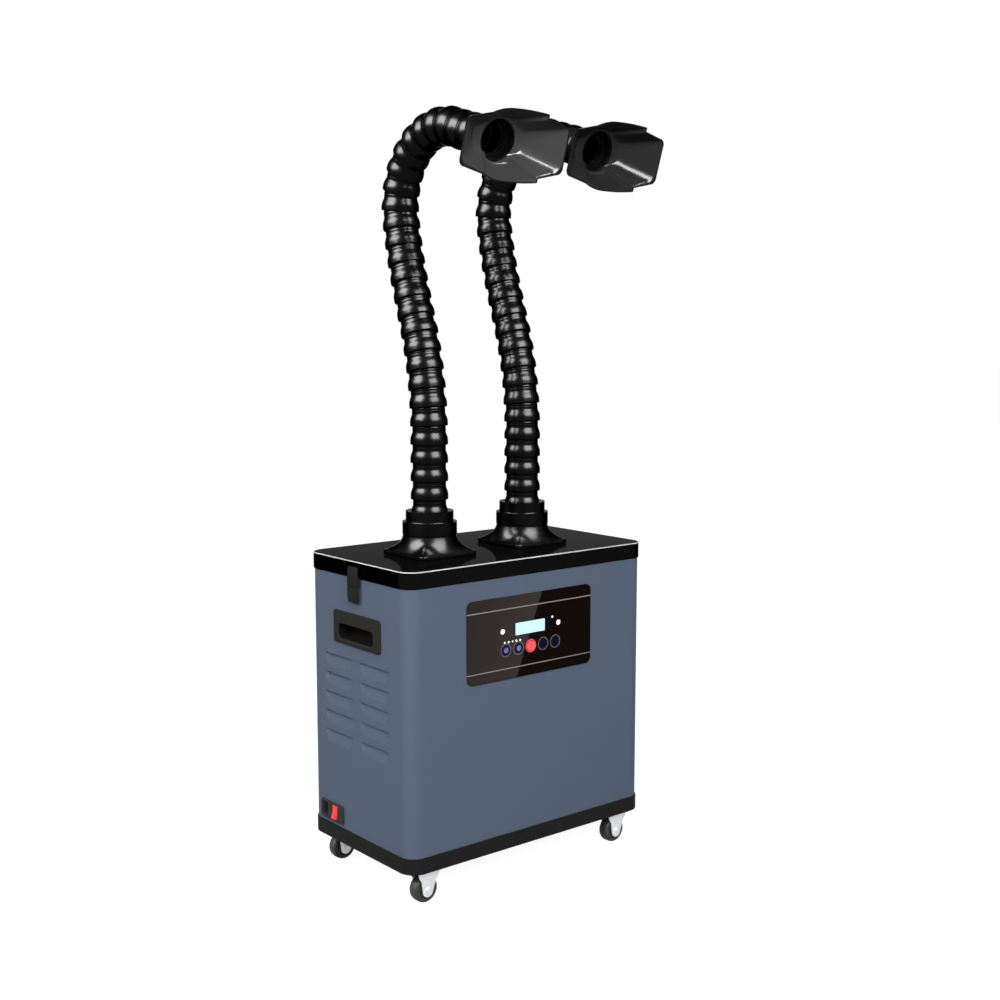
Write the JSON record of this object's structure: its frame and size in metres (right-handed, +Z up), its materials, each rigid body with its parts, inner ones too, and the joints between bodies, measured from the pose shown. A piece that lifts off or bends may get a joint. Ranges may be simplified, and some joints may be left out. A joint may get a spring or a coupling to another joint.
{
  "type": "fume extractor",
  "caption": "Wheeled filter cabinet with bendable ribbed suction arms that end in wide flared hoods, a control panel, a latched lid, side louvres and flush handles.",
  "frame": {"origin": "on the floor below the middle of the machine's bounding box, arms and hoods included", "axes": "+Z up; the control panel and the hood mouths face -Y; the mains inlet is on the -X side"},
  "size_m": [0.4426, 0.3403, 1.0578],
  "materials": {
    "cabinet": "satin powder coat",
    "lid": "gloss",
    "tray": "satin",
    "arm": "gloss",
    "flange": "gloss",
    "hood": "semi-gloss",
    "throat": "gloss",
    "panel": "gloss",
    "display": "gloss",
    "button_blue": "gloss",
    "button_red": "gloss",
    "handle": "matt",
    "latch": "satin",
    "inlet": "matt",
    "rocker": "gloss",
    "zinc": "zinc plated",
    "motor": "cast",
    "supply": "brushed",
    "tread": "matt",
    "gasket": "foam",
    "filter_media": "pleated",
    "carbon": "granular",
    "board": "satin",
    "fan": "satin"
  },
  "bodies": {
    "cabinet": {"base_tray": "tray", "cabinet_shell": "cabinet", "pre_filter": "filter_media", "hepa_filter": "filter_media", "carbon_filter": "carbon", "filter_shelf": "zinc", "fan_motor": "motor", "motor_strap": "zinc", "power_supply": "supply", "control_panel": "panel", "display_window": "display", "control_board": "board", "mains_inlet": "inlet", "handle_left": "handle", "handle_right": "handle", "latch_base_left": "latch", "latch_base_right": "latch", "caster_plate_front_left": "zinc", "caster_plate_front_right": "zinc", "caster_plate_rear_left": "zinc", "caster_plate_rear_right": "zinc"},
    "lid": {"lid": "lid", "lid_gasket": "gasket", "flange_left": "flange", "flange_right": "flange"},
    "arm_left_lower": {"arm_left_lower": "arm"},
    "arm_left_middle": {"arm_left_middle": "arm"},
    "arm_left_upper": {"arm_left_upper": "arm"},
    "arm_left_loop": {"arm_left_loop": "arm"},
    "suction_hood_left": {"throat_ring_left": "throat", "hood_left": "hood"},
    "arm_right_lower": {"arm_right_lower": "arm"},
    "arm_right_middle": {"arm_right_middle": "arm"},
    "arm_right_upper": {"arm_right_upper": "arm"},
    "arm_right_loop": {"arm_right_loop": "arm"},
    "suction_hood_right": {"throat_ring_right": "throat", "hood_right": "hood"},
    "latch_lever_left": {"latch_lever_left": "latch"},
    "latch_hook_left": {"latch_hook_left": "latch"},
    "latch_lever_right": {"latch_lever_right": "latch"},
    "latch_hook_right": {"latch_hook_right": "latch"},
    "rocker": {"rocker_switch": "rocker"},
    "button_down": {"button_down": "button_blue"},
    "button_mode": {"button_mode": "button_blue"},
    "button_power": {"button_power": "button_red"},
    "button_timer": {"button_timer": "button_blue"},
    "button_up": {"button_up": "button_blue"},
    "impeller": {"impeller": "fan"},
    "caster_front_left": {"caster_fork_front_left": "zinc", "caster_axle_front_left": "zinc"},
    "wheel_front_left": {"caster_wheel_front_left": "tread"},
    "caster_front_right": {"caster_fork_front_right": "zinc", "caster_axle_front_right": "zinc"},
    "wheel_front_right": {"caster_wheel_front_right": "tread"},
    "caster_rear_left": {"caster_fork_rear_left": "zinc", "caster_axle_rear_left": "zinc"},
    "wheel_rear_left": {"caster_wheel_rear_left": "tread"},
    "caster_rear_right": {"caster_fork_rear_right": "zinc", "caster_axle_rear_right": "zinc"},
    "wheel_rear_right": {"caster_wheel_rear_right": "tread"}
  },
  "joints": [
    {"name": "lid_lift", "type": "slide", "parent": "cabinet", "child": "lid", "axis": [0, 0, 1], "range_m": [0, 0.12]},
    {"name": "arm_left_swivel", "type": "hinge", "parent": "lid", "child": "arm_left_lower", "pos_m": [-0.1005, 0.03275, 0.50737], "axis": [0, 0, 1], "range_deg": [-20, 0]},
    {"name": "arm_left_bend_low", "type": "hinge", "parent": "arm_left_lower", "child": "arm_left_middle", "pos_m": [-0.1005, 0.03275, 0.63367], "axis": [0.9999, -0.0157, 0], "range_deg": [-12, 12]},
    {"name": "arm_left_bend_mid", "type": "hinge", "parent": "arm_left_middle", "child": "arm_left_upper", "pos_m": [-0.09994, 0.06864, 0.80597], "axis": [0.9999, -0.0157, 0], "range_deg": [-12, 12]},
    {"name": "arm_left_bend_high", "type": "hinge", "parent": "arm_left_upper", "child": "arm_left_loop", "pos_m": [-0.09953, 0.0945, 0.90354], "axis": [0.9999, -0.0157, 0], "range_deg": [-12, 12]},
    {"name": "hood_left_tilt", "type": "hinge", "parent": "arm_left_loop", "child": "suction_hood_left", "pos_m": [-0.10244, -0.09104, 1.0103], "axis": [0.9999, -0.0157, 0], "range_deg": [-12, 12]},
    {"name": "arm_right_swivel", "type": "hinge", "parent": "lid", "child": "arm_right_lower", "pos_m": [0.0675, 0.03275, 0.50737], "axis": [0, 0, 1], "range_deg": [0, 20]},
    {"name": "arm_right_bend_low", "type": "hinge", "parent": "arm_right_lower", "child": "arm_right_middle", "pos_m": [0.0675, 0.03275, 0.63367], "axis": [1, 0.0087, 0], "range_deg": [-12, 12]},
    {"name": "arm_right_bend_mid", "type": "hinge", "parent": "arm_right_middle", "child": "arm_right_upper", "pos_m": [0.06719, 0.06864, 0.80597], "axis": [1, 0.0087, 0], "range_deg": [-12, 12]},
    {"name": "arm_right_bend_high", "type": "hinge", "parent": "arm_right_upper", "child": "arm_right_loop", "pos_m": [0.06696, 0.09451, 0.90354], "axis": [1, 0.0087, 0], "range_deg": [-12, 12]},
    {"name": "hood_right_tilt", "type": "hinge", "parent": "arm_right_loop", "child": "suction_hood_right", "pos_m": [0.06858, -0.09105, 1.0103], "axis": [1, 0.0087, 0], "range_deg": [-12, 12]},
    {"name": "latch_left_open", "type": "hinge", "parent": "cabinet", "child": "latch_lever_left", "pos_m": [-0.2186, 0.04775, 0.3985], "axis": [0, -1, 0], "range_deg": [0, 70]},
    {"name": "latch_left_hook_swing", "type": "hinge", "parent": "latch_lever_left", "child": "latch_hook_left", "pos_m": [-0.2213, 0.04775, 0.4205], "axis": [0, -1, 0], "range_deg": [0, 60]},
    {"name": "latch_right_open", "type": "hinge", "parent": "cabinet", "child": "latch_lever_right", "pos_m": [0.2186, 0.04775, 0.3985], "axis": [0, 1, 0], "range_deg": [0, 70]},
    {"name": "latch_right_hook_swing", "type": "hinge", "parent": "latch_lever_right", "child": "latch_hook_right", "pos_m": [0.2213, 0.04775, 0.4205], "axis": [0, 1, 0], "range_deg": [0, 60]},
    {"name": "mains_rocker", "type": "hinge", "parent": "cabinet", "child": "rocker", "pos_m": [-0.2158, 0.10675, 0.088], "axis": [0, 1, 0], "range_deg": [-18, 0]},
    {"name": "button_down_press", "type": "slide", "parent": "cabinet", "child": "button_down", "axis": [0, 1, 0], "range_m": [0, 0.0008], "stiffness_N_per_m": 600},
    {"name": "button_mode_press", "type": "slide", "parent": "cabinet", "child": "button_mode", "axis": [0, 1, 0], "range_m": [0, 0.0008], "stiffness_N_per_m": 600},
    {"name": "button_power_press", "type": "slide", "parent": "cabinet", "child": "button_power", "axis": [0, 1, 0], "range_m": [0, 0.0008], "stiffness_N_per_m": 600},
    {"name": "button_timer_press", "type": "slide", "parent": "cabinet", "child": "button_timer", "axis": [0, 1, 0], "range_m": [0, 0.0008], "stiffness_N_per_m": 600},
    {"name": "button_up_press", "type": "slide", "parent": "cabinet", "child": "button_up", "axis": [0, 1, 0], "range_m": [0, 0.0008], "stiffness_N_per_m": 600},
    {"name": "impeller_spin", "type": "hinge", "parent": "cabinet", "child": "impeller", "pos_m": [0, 0.04775, 0.2552], "axis": [0, 0, 1], "continuous": true},
    {"name": "caster_front_left_swivel", "type": "hinge", "parent": "cabinet", "child": "caster_front_left", "pos_m": [-0.1753, -0.05225, 0.045], "axis": [0, 0, 1], "continuous": true},
    {"name": "wheel_front_left_roll", "type": "hinge", "parent": "caster_front_left", "child": "wheel_front_left", "pos_m": [-0.1778, -0.05225, 0.019], "axis": [0, 1, 0], "continuous": true},
    {"name": "caster_front_right_swivel", "type": "hinge", "parent": "cabinet", "child": "caster_front_right", "pos_m": [0.1753, -0.05225, 0.045], "axis": [0, 0, 1], "continuous": true},
    {"name": "wheel_front_right_roll", "type": "hinge", "parent": "caster_front_right", "child": "wheel_front_right", "pos_m": [0.1728, -0.05225, 0.019], "axis": [0, 1, 0], "continuous": true},
    {"name": "caster_rear_left_swivel", "type": "hinge", "parent": "cabinet", "child": "caster_rear_left", "pos_m": [-0.1753, 0.14775, 0.045], "axis": [0, 0, 1], "continuous": true},
    {"name": "wheel_rear_left_roll", "type": "hinge", "parent": "caster_rear_left", "child": "wheel_rear_left", "pos_m": [-0.1778, 0.14775, 0.019], "axis": [0, 1, 0], "continuous": true},
    {"name": "caster_rear_right_swivel", "type": "hinge", "parent": "cabinet", "child": "caster_rear_right", "pos_m": [0.1753, 0.14775, 0.045], "axis": [0, 0, 1], "continuous": true},
    {"name": "wheel_rear_right_roll", "type": "hinge", "parent": "caster_rear_right", "child": "wheel_rear_right", "pos_m": [0.1728, 0.14775, 0.019], "axis": [0, 1, 0], "continuous": true}
  ]
}
